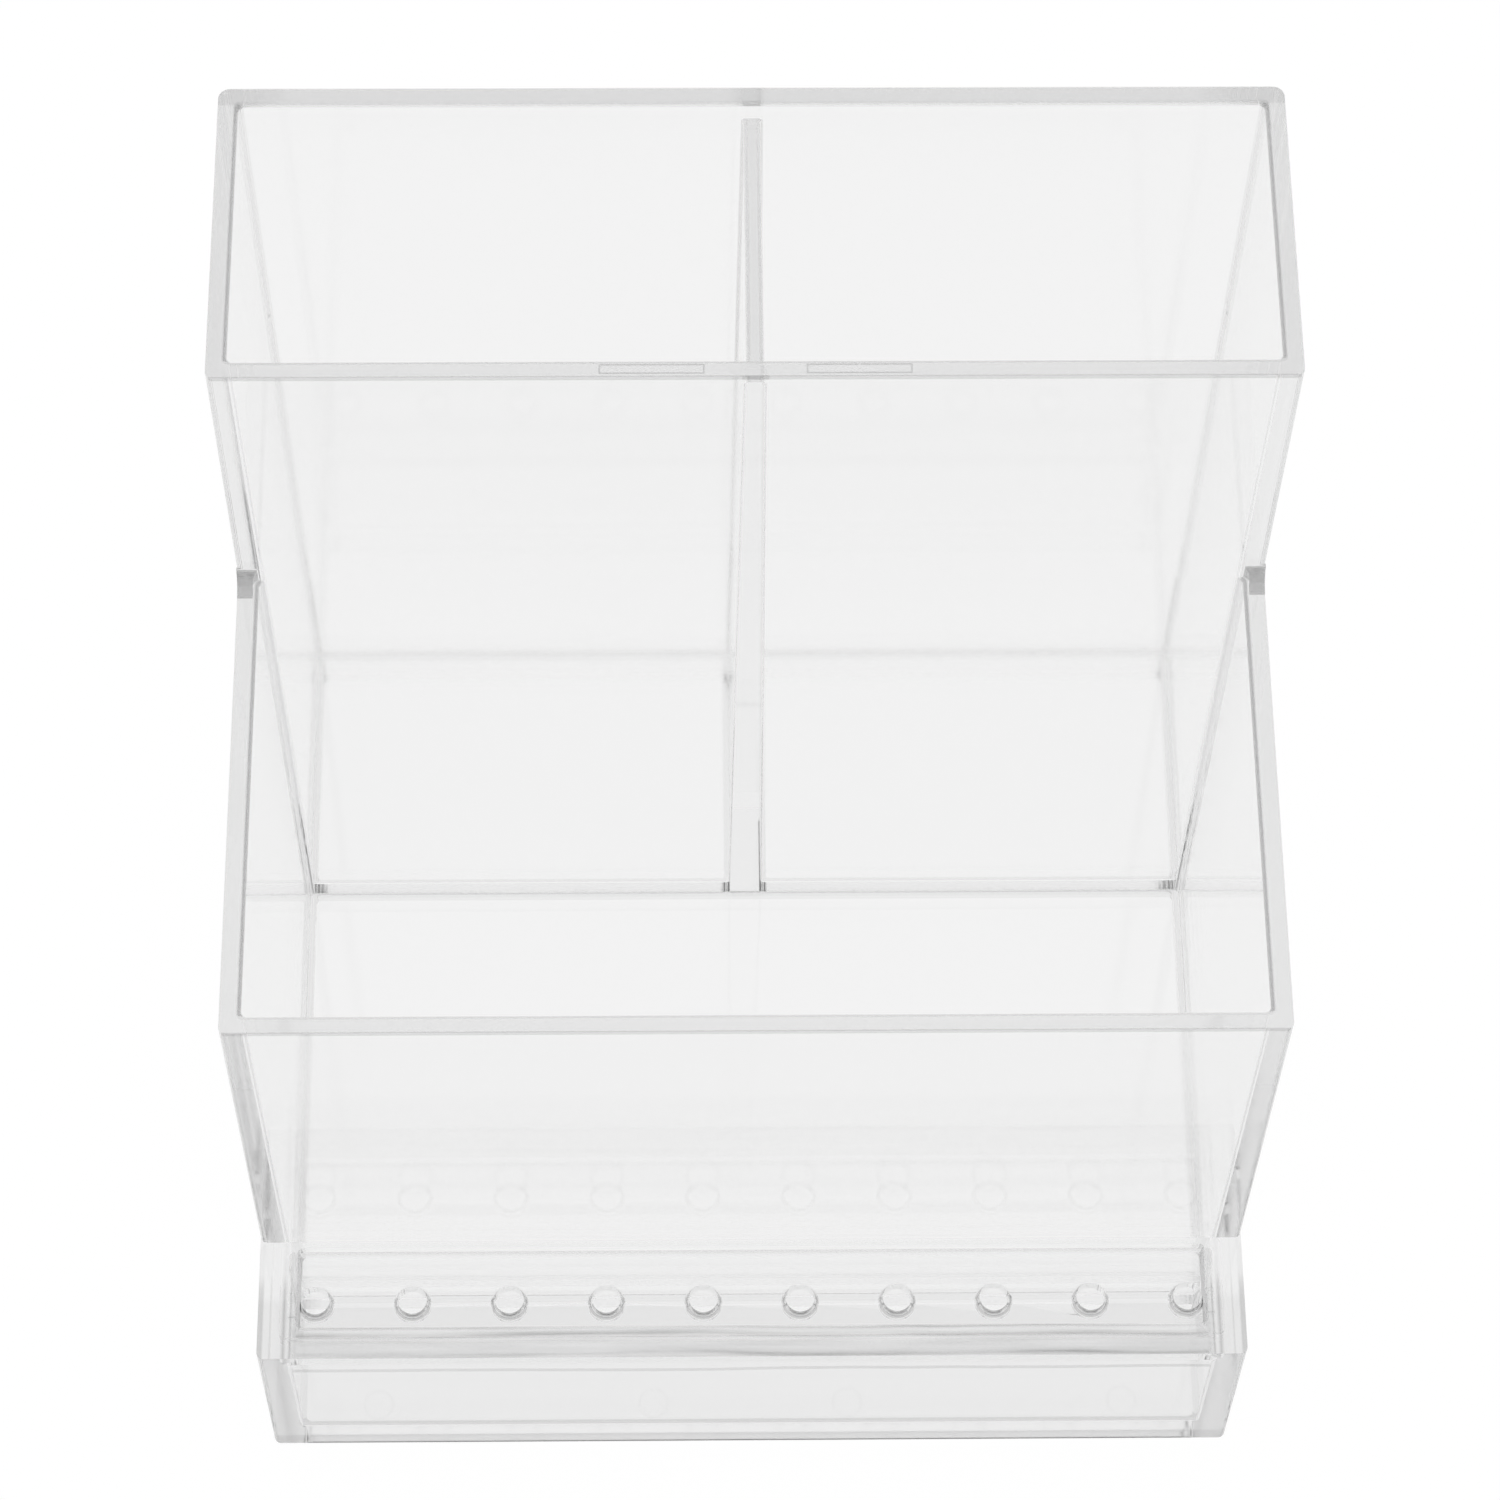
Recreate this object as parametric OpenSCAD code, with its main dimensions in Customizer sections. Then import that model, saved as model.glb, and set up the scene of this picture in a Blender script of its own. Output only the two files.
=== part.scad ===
/* [Sections] */
// Width across the open rims
organizer_w = 102; // [92:1:130]
// Depth of the tall section, from the back face to the front of its wall
tall_d = 32.7; // [26:0.1:42]
// Depth of the open bin, in front of the tall section
bin_d = 49.5; // [36:0.1:64]
// Depth of the rack, in front of the bin
rack_d = 12.8; // [12:0.1:20]
// Height of the tall section
tall_h = 112.5; // [96:0.1:130]
// Height of the bin's rim
bin_h = 75.4; // [56:0.1:88]
// Height of the rack
rack_h = 24.6; // [18:0.1:32]

/* [Walls] */
// Wall thickness at the rims
wall_t = 1.9; // [1.4:0.1:2.4]
// Wall thickness round the rack's pocket
rack_wall_t = 2.2; // [1.8:0.1:2.6]
// Thickness of the raised floor under the cells and the bin
floor_t = 2.3; // [1.6:0.1:3]
// Thickness of the rack's floor
rack_floor_t = 2.4; // [1.6:0.1:3]
// How far the raised floor stands above the surface
foot_h = 4.5; // [4.2:0.1:8]
// Thickness of the skirt that the organizer stands on
skirt_t = 2.4; // [1.8:0.1:3]
// Lean of the outer side faces, in degrees
outer_draft = 0.2; // [0:0.05:0.5]
// Lean of the inner faces, in degrees
core_draft = 0.45; // [0.2:0.05:0.7]

/* [Edges] */
// Radius of the two upright corners at the back
back_corner_r = 1.1; // [0.4:0.1:1.6]
// Radius of the upright corners at the front of each section
front_corner_r = 0.7; // [0.3:0.1:1.2]
// Radius of the upright corners inside each compartment
inner_corner_r = 0.6; // [0.3:0.1:1]
// Radius where each compartment's floor meets its walls
floor_r = 0.8; // [0.4:0.1:1.4]
// Rounding of the inner edge of each rim
lip_r = 0.5; // [0.2:0.1:0.8]
// Hollow curve where the bin's side rims run up into the tall section
step_r = 2.3; // [1:0.1:4]

/* [Divider] */
// Thickness of the divider at its top edge
divider_t = 1.7; // [1.2:0.1:2.2]
// How far the divider's top lies below the tall rim
divider_drop = 2.3; // [1.5:0.1:6]

/* [Rack plate] */
// Number of holes in the row
hole_count = 10; // [6:1:10]
// Distance from the plate's raised edge to the centre of each end hole
hole_end = 2.35; // [2.3:0.05:8]
// Diameter of each hole
hole_d = 3.2; // [2.4:0.1:4.4]
// Rounding round the top of each hole
hole_lip_r = 0.35; // [0.1:0.05:0.5]
// Distance from the rack's front face to the row of holes
hole_setback = 6.8; // [6.4:0.1:7.4]
// Thickness of the plate
plate_t = 2.4; // [1.8:0.1:3]
// How far the plate's face lies below the rack's rim
plate_drop = 1.6; // [1:0.1:2.4]
// Width of the plate's raised edge at its sides and front
edge_t = 1.1; // [0.8:0.1:1.4]
// Width of the plate's raised edge against the bin
back_edge_t = 0.6; // [0.4:0.1:1]
// Radius where the plate's face meets its raised edge
plate_floor_r = 0.5; // [0.2:0.1:0.8]
// Width of the ledge that the plate sits on
ledge_w = 0.6; // [0.4:0.1:1]
// Gap left all round the plate for the bond
bond_gap = 0.05; // [0.02:0.01:0.1]

/* [Hidden] */

// Steps in each rounded corner and each rounded edge
corner_steps = 6;
edge_steps = 5;
$fn = 64;
// Overrun of every cut past the face that it opens
over = 0.4;

organizer_d = tall_d + bin_d + rack_d;
back_y = organizer_d / 2;
tall_y = back_y - tall_d;
bin_y = tall_y - bin_d;
front_y = -organizer_d / 2;
floor_z = foot_h + floor_t;
divider_z = tall_h - divider_drop;
plate_z = rack_h - plate_drop;
seat_z = plate_z - plate_t;
outer_lean = tan(outer_draft);
core_lean = tan(core_draft);

// Half the outer width at height z: the sides draw in towards the base
function half_w(z) = organizer_w / 2 - outer_lean * (tall_h - z);
// Half the clear width between the side walls at height z
function half_clear(z) = organizer_w / 2 - wall_t - core_lean * (tall_h - z);
// Half the divider's thickness at height z
function half_divider(z) = divider_t / 2 + core_lean * (divider_z - z);

// A plan rectangle is [left, right, front, back]. Grows one by a margin on the sides marked 1.
function grow(plan, by, sides = [1, 1, 1, 1]) = [
    plan[0] - by * sides[0],
    plan[1] + by * sides[1],
    plan[2] - by * sides[2],
    plan[3] + by * sides[3]
];

// Outline of a plan rectangle with rounded corners, anticlockwise from above
function outline(plan, front_r, back_r) = [
    for (corner = [
        [plan[1] - back_r, plan[3] - back_r, back_r, 0],
        [plan[0] + back_r, plan[3] - back_r, back_r, 90],
        [plan[0] + front_r, plan[2] + front_r, front_r, 180],
        [plan[1] - front_r, plan[2] + front_r, front_r, 270]
    ])
        for (i = [0 : corner_steps])
            let (a = corner[3] + 90 * i / corner_steps)
                [corner[0] + corner[2] * cos(a), corner[1] + corner[2] * sin(a)]
];

function at_height(points, z) = [for (p = points) [p[0], p[1], z]];

// One closed solid through a stack of outlines that all have the same number of points
module loft(rings) {
    n = len(rings[0]);
    top = len(rings) - 1;
    polyhedron(
        points = [for (r = rings) each r],
        faces = concat(
            [[for (i = [0 : n - 1]) i]],
            [[for (i = [n - 1 : -1 : 0]) top * n + i]],
            [
                for (k = [0 : top - 1])
                    for (i = [0 : n - 1])
                        let (j = (i + 1) % n)
                            each [
                                [k * n + i, (k + 1) * n + i, (k + 1) * n + j],
                                [k * n + i, (k + 1) * n + j, k * n + j]
                            ]
            ]
        )
    );
}

// The space inside a compartment: a rounded floor edge, walls that lean with the core's draft,
// and a mouth rounded outwards on the sides marked 1. The plan is that of the mouth, unrounded.
module hollow(plan, bottom_z, mouth_z, lip, lip_sides) {
    function lean_in(z) = -core_lean * (mouth_z - z);
    function ring(plan_at, z) = at_height(outline(plan_at, inner_corner_r, inner_corner_r), z);
    loft(concat(
        [
            for (i = [0 : edge_steps])
                let (a = 90 * i / edge_steps, z = bottom_z + floor_r * (1 - cos(a)))
                    ring(grow(plan, lean_in(z) - floor_r * (1 - sin(a))), z)
        ],
        [
            for (i = [0 : edge_steps])
                let (a = 90 * i / edge_steps, z = mouth_z - lip * (1 - sin(a)))
                    ring(grow(grow(plan, lean_in(z)), lip * (1 - cos(a)), lip_sides), z)
        ],
        [ring(grow(plan, lip, lip_sides), mouth_z + step_r + over)]
    ));
}

// Rounds an upright edge at the origin whose solid lies towards -X and +Y
module edge_round(r, h) {
    translate([-r, -over, 0])
        difference() {
            cube([r + over, r + over, h]);
            translate([0, r + over, -over])
                cylinder(r = r, h = h + 2 * over);
        }
}

// The block that the whole body is cut from. Its front face stands at front_y at the rack's rim.
module drafted_block() {
    plan = [-half_w(tall_h), half_w(tall_h), front_y - outer_lean * (tall_h - rack_h), back_y];
    loft([
        at_height(outline(grow(plan, -outer_lean * tall_h), front_corner_r, back_corner_r), 0),
        at_height(outline(plan, front_corner_r, back_corner_r), tall_h)
    ]);
}

// Side view of the three heights, stepping down from the back to the front
module side_profile() {
    past_front_y = front_y - outer_lean * tall_h - over;
    difference() {
        polygon([
            [back_y + over, -over],
            [back_y + over, tall_h + over],
            [tall_y, tall_h + over],
            [tall_y, bin_h + step_r],
            [tall_y - step_r, bin_h + step_r],
            [tall_y - step_r, bin_h],
            [bin_y, bin_h],
            [bin_y, rack_h],
            [past_front_y, rack_h],
            [past_front_y, -over]
        ]);
        translate([tall_y - step_r, bin_h + step_r])
            circle(r = step_r);
    }
}

module stepped_block() {
    intersection() {
        drafted_block();
        translate([-organizer_w / 2 - over, 0, 0])
            rotate([90, 0, 90])
                linear_extrude(height = organizer_w + 2 * over)
                    side_profile();
    }
}

// Rounds the two front edges of the section whose front face is at y, between two heights
module front_edges(y, low_z, high_z) {
    for (side = [0, 1])
        mirror([side, 0, 0])
            translate([half_w(low_z), y, low_z])
                rotate([0, outer_draft, 0])
                    edge_round(front_corner_r, (high_z - low_z + over) / cos(outer_draft));
}

// The two tall cells, side by side, with the divider left between them
module tall_cells() {
    mouth = [-half_clear(tall_h), half_clear(tall_h), tall_y + wall_t, back_y - wall_t];
    below_rim = grow(mouth, -core_lean * divider_drop);
    for (side = [0, 1])
        mirror([side, 0, 0])
            hollow(
                [half_divider(divider_z), below_rim[1], below_rim[2], below_rim[3]],
                floor_z, divider_z, lip_r, [1, 0, 0, 0]
            );
    above_divider(mouth, below_rim);
}

// The clear space from the divider's top edge up through the tall rim
module above_divider(mouth, below_rim) {
    function ring(plan_at, z) = at_height(outline(plan_at, inner_corner_r, inner_corner_r), z);
    loft(concat(
        [ring(below_rim, divider_z)],
        [
            for (i = [0 : edge_steps])
                let (a = 90 * i / edge_steps, z = tall_h - lip_r * (1 - sin(a)))
                    ring(grow(mouth, lip_r * (1 - cos(a)) - core_lean * (tall_h - z)), z)
        ],
        [ring(grow(mouth, lip_r), tall_h + over)]
    ));
}

module bin_space() {
    hollow(
        [-half_clear(bin_h), half_clear(bin_h), bin_y + wall_t, tall_y],
        floor_z, bin_h, lip_r, [1, 1, 1, 0]
    );
}

// Plan of the pocket that takes the rack plate
pocket = [-half_w(rack_h) + rack_wall_t, half_w(rack_h) - rack_wall_t, front_y + rack_wall_t, bin_y];

module rack_space() {
    translate([0, 0, seat_z])
        linear_extrude(height = plate_t + plate_drop + over)
            polygon(outline(pocket, inner_corner_r, inner_corner_r));
    hollow(grow(pocket, -ledge_w, [1, 1, 1, 0]), rack_floor_t, seat_z, 0, [0, 0, 0, 0]);
}

// The hollow under the raised floor, open at the bottom
module under_floor() {
    plan = [-half_w(0) + skirt_t, half_w(0) - skirt_t, bin_y + skirt_t, back_y - skirt_t - outer_lean * tall_h];
    loft([
        at_height(outline(grow(plan, core_lean * over), inner_corner_r, inner_corner_r), -over),
        at_height(outline(grow(plan, -core_lean * foot_h), inner_corner_r, inner_corner_r), foot_h)
    ]);
}

module body() {
    color([0.93, 0.95, 0.96, 0.35])
        difference() {
            stepped_block();
            front_edges(tall_y, bin_h + step_r, tall_h);
            front_edges(bin_y, rack_h, bin_h);
            tall_cells();
            bin_space();
            rack_space();
            under_floor();
        }
}

// One hole of the row, with its rounded mouth at height 0
module hole_cut() {
    translate([0, 0, -plate_t - over])
        cylinder(d = hole_d, h = plate_t + 2 * over);
    rotate_extrude()
        difference() {
            translate([0, -hole_lip_r])
                square([hole_d / 2 + hole_lip_r, hole_lip_r + over]);
            translate([hole_d / 2 + hole_lip_r, -hole_lip_r])
                circle(r = hole_lip_r);
        }
}

module rack_plate() {
    plate = grow(pocket, -bond_gap);
    face = [plate[0] + edge_t, plate[1] - edge_t, plate[2] + edge_t, plate[3] - back_edge_t];
    first_x = face[0] + hole_end;
    hole_pitch = -2 * first_x / (hole_count - 1);
    color([0.93, 0.95, 0.96, 0.35])
        difference() {
            translate([0, 0, seat_z])
                linear_extrude(height = plate_t + plate_drop)
                    polygon(outline(plate, inner_corner_r, inner_corner_r));
            loft(concat(
                [
                    for (i = [0 : edge_steps])
                        let (a = 90 * i / edge_steps)
                            at_height(
                                outline(
                                    grow(face, -plate_floor_r * (1 - sin(a))),
                                    inner_corner_r, inner_corner_r
                                ),
                                plate_z + plate_floor_r * (1 - cos(a))
                            )
                ],
                [at_height(outline(face, inner_corner_r, inner_corner_r), rack_h + over)]
            ));
            for (i = [0 : hole_count - 1])
                translate([first_x + i * hole_pitch, front_y + hole_setback, plate_z])
                    hole_cut();
        }
}

body();
rack_plate();
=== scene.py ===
import math

import bmesh
import bpy
from bpy.props import FloatProperty, FloatVectorProperty, IntProperty, PointerProperty
from bpy.types import Operator, Panel, PropertyGroup
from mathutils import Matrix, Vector


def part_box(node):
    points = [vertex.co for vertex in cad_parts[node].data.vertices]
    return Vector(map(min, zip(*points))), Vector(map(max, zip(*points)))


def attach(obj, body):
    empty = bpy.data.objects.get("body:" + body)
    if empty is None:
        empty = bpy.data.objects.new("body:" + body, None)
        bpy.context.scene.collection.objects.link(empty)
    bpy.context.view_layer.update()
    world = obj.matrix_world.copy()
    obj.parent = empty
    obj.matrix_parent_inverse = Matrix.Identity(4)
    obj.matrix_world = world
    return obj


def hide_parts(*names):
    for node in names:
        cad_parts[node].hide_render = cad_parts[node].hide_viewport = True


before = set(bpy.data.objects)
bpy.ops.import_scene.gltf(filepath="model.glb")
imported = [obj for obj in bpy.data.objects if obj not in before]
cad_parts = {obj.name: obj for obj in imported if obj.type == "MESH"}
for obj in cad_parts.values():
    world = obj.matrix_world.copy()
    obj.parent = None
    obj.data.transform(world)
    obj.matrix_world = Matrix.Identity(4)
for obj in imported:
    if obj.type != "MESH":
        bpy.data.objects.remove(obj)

bl_info = {
    "name": "Stepped Vanity Organizer",
    "version": (1, 0, 0),
    "blender": (4, 5, 0),
    "location": "3D View > Sidebar > Organizer",
    "description": "Models a clear moulded organizer with two tall cells, a bin and a perforated rack",
    "category": "Add Mesh",
}

MM = 0.001
TOUCH = 1e-6
# Cosine and sine of the lean that tells flats and walls from roundings
FLAT, STEEP = 0.995, 0.1

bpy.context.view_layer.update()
BODY_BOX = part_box("body")


def length(name, description, millimetres):
    """A length property in metres whose default is given in millimetres."""
    return FloatProperty(
        name=name, description=description, default=millimetres * MM,
        min=0.0, precision=5, unit="LENGTH", subtype="DISTANCE",
    )


def linear(code, alpha=None):
    """Linear colour of an sRGB hex code such as 'EDF2F5'."""
    shares = [int(code[i:i + 2], 16) / 255 for i in (0, 2, 4)]
    colour = [s / 12.92 if s <= 0.04045 else ((s + 0.055) / 1.055) ** 2.4 for s in shares]
    return tuple(colour) if alpha is None else (*colour, alpha)


class BodySizes(PropertyGroup):
    """Sizes of the one-piece body"""
    width: length("Width", "Width across the open rims", (BODY_BOX[1][0] - BODY_BOX[0][0]) / MM)
    tall_depth: length("Tall section depth", "From the back face to the front of the tall cells' wall", 32.7)
    bin_depth: length("Bin depth", "Depth of the open bin in front of the tall cells", 49.5)
    rack_depth: length("Rack depth", "Depth of the rack in front of the bin", 12.8)
    tall_height: length(
        "Tall rim height", "Height of the tall cells' rim", (BODY_BOX[1][2] - BODY_BOX[0][2]) / MM)
    bin_height: length("Bin rim height", "Height of the bin's rim", 75.4)
    rack_height: length("Rack height", "Height of the rack's rim", 24.6)
    wall: length("Wall", "Wall thickness at the rims", 1.9)
    rack_wall: length("Rack wall", "Wall thickness round the rack's pocket", 2.2)
    raised_floor: length("Raised floor", "Thickness of the floor under the cells and the bin", 2.3)
    rack_floor: length("Rack floor", "Thickness of the rack's floor", 2.4)
    foot: length("Foot height", "How far the raised floor stands above the table", 4.5)
    skirt: length("Skirt", "Thickness of the skirt that the organizer stands on", 2.4)
    outer_draft: FloatProperty(
        name="Outer draft", description="Lean of the outer side faces",
        default=math.radians(0.2), min=0.0, max=math.radians(1), subtype="ANGLE")
    core_draft: FloatProperty(
        name="Core draft", description="Lean of the inner faces",
        default=math.radians(0.45), min=0.0, max=math.radians(1), subtype="ANGLE")
    back_corner: length("Back corner radius", "Radius of the two upright corners at the back", 1.1)
    front_corner: length("Front corner radius", "Radius of the upright corners at each section's front", 0.7)
    inner_corner: length("Inner corner radius", "Radius of the upright corners inside", 0.6)
    divider_corner: length("Divider corner radius", "Radius of the upright corners at the divider", 0.25)
    floor_radius: length("Floor radius", "Radius where a compartment's floor meets its walls", 0.8)
    lip: length("Lip radius", "Rounding of the inner edge of each rim", 0.5)
    step_radius: length("Step radius", "Hollow curve where the bin's rim meets the tall cells", 2.3)
    divider: length("Divider", "Thickness of the divider at its top edge", 1.7)
    divider_drop: length("Divider drop", "How far the divider's top lies below the tall rim", 2.3)


class PlateSizes(PropertyGroup):
    """Sizes of the perforated plate that is bonded into the rack"""
    hole_count: IntProperty(
        name="Holes", description="Number of holes in the row", default=10, min=2, max=12)
    hole_end: length("End holes", "From the raised edge to the centre of each end hole", 1.85)
    hole: length("Hole diameter", "Diameter of each hole at the plate's face", 3.0)
    hole_lip: length("Hole rounding", "Rounding round the lower edge of each hole", 0.45)
    hole_throat: length("Hole throat", "Depth over which each hole keeps its narrow diameter", 1.3)
    setback: length("Row setback", "From the rack's front face to the row of holes", 7.0)
    thickness: length("Thickness", "Thickness of the plate", 2.4)
    drop: length("Drop", "How far the plate's face lies below the rack's rim", 1.6)
    edge: length("Edge", "Width of the raised edge at the front", 1.1)
    end_edge: length("End edge", "Width of the raised edge at both ends", 1.6)
    back_edge: length("Back edge", "Width of the raised edge against the bin", 0.6)
    floor_radius: length("Floor radius", "Radius where the face meets the raised edge", 0.5)
    ledge: length("Ledge", "Width of the ledge that the plate sits on", 0.6)
    bond_gap: length("Bond gap", "Gap left round the plate for the bond", 0.05)


class PlasticLook(PropertyGroup):
    """Look of the clear plastic"""
    ior: FloatProperty(
        name="IOR", description="Index of refraction of the clear plastic",
        default=1.49, min=1.3, max=1.7)
    roughness: FloatProperty(
        name="Roughness", description="Roughness of the moulded surface, a little above a polished sheet's",
        default=0.05, min=0.0, max=0.5)
    depth_tint: FloatVectorProperty(
        name="Depth tint", description="Colour that thick sections take on",
        default=linear("868686"), size=3, min=0.0, max=1.0, subtype="COLOR")
    depth_density: FloatProperty(
        name="Tint density", description="Absorption per metre of plastic",
        default=2.2, min=0.0, max=50.0)
    # A painted glow stands in for light that has run long inside the walls
    even_after: IntProperty(
        name="Even after", description="Number of turns after which light inside the walls comes out even",
        default=14, min=4, max=60)
    even_glow: FloatProperty(
        name="Even glow", description="Brightness of the light that has run long inside the walls",
        default=0.96, min=0.0, max=1.0)


class StageLook(PropertyGroup):
    """Table, surroundings and camera of the studio"""
    table_seen: FloatProperty(
        name="Table brightness", description="Brightness of the white table as the camera sees it",
        default=0.985, min=0.0, max=1.0)
    table_through: FloatProperty(
        name="Table through plastic", description="Brightness of the white table seen through the plastic",
        default=0.89, min=0.0, max=1.0)
    table_rack: FloatProperty(
        name="Table under the rack",
        description="Brightness of the table seen through the rack, which shades it",
        default=0.825, min=0.0, max=1.0)
    softbox: FloatProperty(
        name="Softbox", description="Brightness of the softbox overhead",
        default=0.9, min=0.0, max=2.0)
    softbox_half: FloatProperty(
        name="Softbox half width",
        description="How far the softbox reaches to each side, as an angle from overhead",
        default=math.radians(15), min=0.0, max=math.radians(80), subtype="ANGLE")
    softbox_low: FloatProperty(
        name="Softbox lower end", description="How low the softbox comes down at the front and the back",
        default=math.radians(47), min=0.0, max=math.radians(80), subtype="ANGLE")
    room: FloatVectorProperty(
        name="Room", description="Colour of the dim room at both sides",
        default=linear("595959"), size=3, min=0.0, max=1.0, subtype="COLOR")
    lens: FloatProperty(
        name="Lens", description="Focal length on a 36 mm sensor, in millimetres",
        default=119.8835, min=20.0, max=400.0)


# Selecting and shaping, as by hand in edit mode

def deselect():
    if bpy.context.object is not None and bpy.context.object.mode != "OBJECT":
        bpy.ops.object.mode_set(mode="OBJECT")
    bpy.ops.object.select_all(action="DESELECT")


def only(piece):
    """Selects one piece alone, in object mode."""
    deselect()
    piece.select_set(True)
    bpy.context.view_layer.objects.active = piece


def pick(piece, kind, wanted):
    """Enters edit mode with the vertices, edges or faces that wanted() accepts selected."""
    only(piece)
    bpy.ops.object.mode_set(mode="EDIT")
    bpy.ops.mesh.select_mode(type=kind)
    bpy.ops.mesh.select_all(action="DESELECT")
    mesh = bmesh.from_edit_mesh(piece.data)
    found = [p for p in {"VERT": mesh.verts, "EDGE": mesh.edges, "FACE": mesh.faces}[kind] if wanted(p)]
    for part in found:
        part.select_set(True)
    mesh.select_flush_mode()
    bmesh.update_edit_mesh(piece.data)
    if not found:
        raise RuntimeError(f"nothing to select on {piece.name}")


def near(a, b, by=TOUCH):
    return abs(a - b) < by


def added(name):
    """Names the primitive that was just added and applies its place and size to its mesh."""
    piece = bpy.context.object
    piece.name = name
    piece.data.name = name
    only(piece)
    bpy.ops.object.transform_apply(location=True, rotation=True, scale=True)
    return piece


def move_half(piece, z, axis, middle, sign, by):
    """Moves the vertices at height z that lie on one side of middle."""
    pick(piece, "VERT", lambda v: near(v.co.z, z) and sign * (v.co[axis] - middle) > 0)
    step = [0.0, 0.0, 0.0]
    step[axis] = sign * by
    bpy.ops.transform.translate(value=step)


def grow(plan, by, sides=(1, 1, 1, 1)):
    """A plan is (left, right, front, back). Grows it by a margin on the sides marked 1."""
    left, right, front, back = (by * side for side in sides)
    return (plan[0] - left, plan[1] + right, plan[2] - front, plan[3] + back)


def stack(name, rings, corner, steps=8):
    """A closed form through plans at rising heights, each with the same corners, or (left, right) ones."""
    deselect()
    plan, z = rings[0]
    bpy.ops.mesh.primitive_plane_add(
        size=1, location=((plan[0] + plan[1]) / 2, (plan[2] + plan[3]) / 2, z))
    piece = bpy.context.object
    piece.scale = (plan[1] - plan[0], plan[3] - plan[2], 1)
    piece = added(name)
    middle = (plan[0] + plan[1]) / 2
    for sign, radius in zip((-1, 1), corner if isinstance(corner, tuple) else (corner, corner)):
        pick(piece, "VERT", lambda v: sign * (v.co.x - middle) > 0)
        bpy.ops.mesh.bevel(offset=radius, segments=steps, affect="VERTICES")
    for (plan, z), (last, last_z) in zip(rings[1:], rings):
        pick(piece, "FACE", lambda f: near(f.calc_center_median().z, last_z) and abs(f.normal.z) > 0.9)
        bpy.ops.mesh.extrude_region_move(TRANSFORM_OT_translate={"value": (0, 0, z - last_z)})
        middle = ((last[0] + last[1]) / 2, (last[2] + last[3]) / 2)
        for side in range(4):
            axis, sign = side // 2, 2 * (side % 2) - 1
            by = sign * (plan[side] - last[side])
            if abs(by) > 1e-9:
                move_half(piece, z, axis, middle[axis], sign, by)
    pick(piece, "FACE", lambda f: True)
    bpy.ops.mesh.normals_make_consistent(inside=False)
    deselect()
    return piece


def cut(piece, *cutters):
    """Takes the cutters out of the piece."""
    for cutter in cutters:
        only(piece)
        taken = piece.modifiers.new("cut", "BOOLEAN")
        taken.operation = "DIFFERENCE"
        taken.solver = "EXACT"
        taken.object = cutter
        bpy.ops.object.modifier_apply(modifier=taken.name)
        only(cutter)
        bpy.ops.object.delete()


def smooth(piece, angle=25):
    """Merges doubles, then shades the rounded edges smooth and leaves the flats flat."""
    pick(piece, "VERT", lambda v: True)
    bpy.ops.mesh.remove_doubles(threshold=0.2 * TOUCH)
    bpy.ops.mesh.normals_make_consistent(inside=False)
    only(piece)
    bpy.ops.object.shade_smooth_by_angle(angle=math.radians(angle))
    even = piece.modifiers.new("even", "WEIGHTED_NORMAL")
    even.keep_sharp = True
    bpy.ops.object.modifier_apply(modifier=even.name)
    deselect()


def mark(piece, name, wanted):
    """Marks the faces that wanted() accepts with 1, and the others with 0, for the material to read."""
    only(piece)
    share = piece.data.attributes.get(name) or piece.data.attributes.new(name, "FLOAT", "FACE")
    corners = piece.data.vertices
    for face in piece.data.polygons:
        place = [corners[v].co for v in face.vertices]
        share.data[face.index].value = float(wanted(face, place))


def rounded(face):
    """Whether a face belongs to a rounding, since every flat lies within a degree of an axis."""
    return max(abs(c) for c in face.normal) < FLAT


def quarter(steps):
    """Angles of a quarter turn in equal steps."""
    return [math.pi / 2 * i / steps for i in range(steps + 1)]


# The body

class Levels:
    """Heights, places and leans that the body and the plate share."""

    def __init__(self, scene):
        self.b = b = scene.organizer_body
        self.p = p = scene.organizer_plate
        self.back = (b.tall_depth + b.bin_depth + b.rack_depth) / 2
        self.tall = self.back - b.tall_depth
        self.bin = self.tall - b.bin_depth
        self.front = -self.back
        self.floor = b.foot + b.raised_floor
        self.divider = b.tall_height - b.divider_drop
        self.plate = b.rack_height - p.drop
        self.seat = self.plate - p.thickness
        self.outer_lean = math.tan(b.outer_draft)
        self.core_lean = math.tan(b.core_draft)
        half = self.half_width(b.rack_height) - b.rack_wall
        self.pocket = (-half, half, self.front + b.rack_wall, self.bin)

    def half_width(self, z):
        return self.b.width / 2 - self.outer_lean * (self.b.tall_height - z)

    def half_clear(self, z):
        return self.b.width / 2 - self.b.wall - self.core_lean * (self.b.tall_height - z)

    def half_divider(self, z):
        return self.b.divider / 2 + self.core_lean * (self.divider - z)


# How far a cutter runs past the face that it opens, and the height of the strip that carries a rim's lines
OVER = 0.4 * MM
RIM_STRIP = 0.6 * MM


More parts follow.
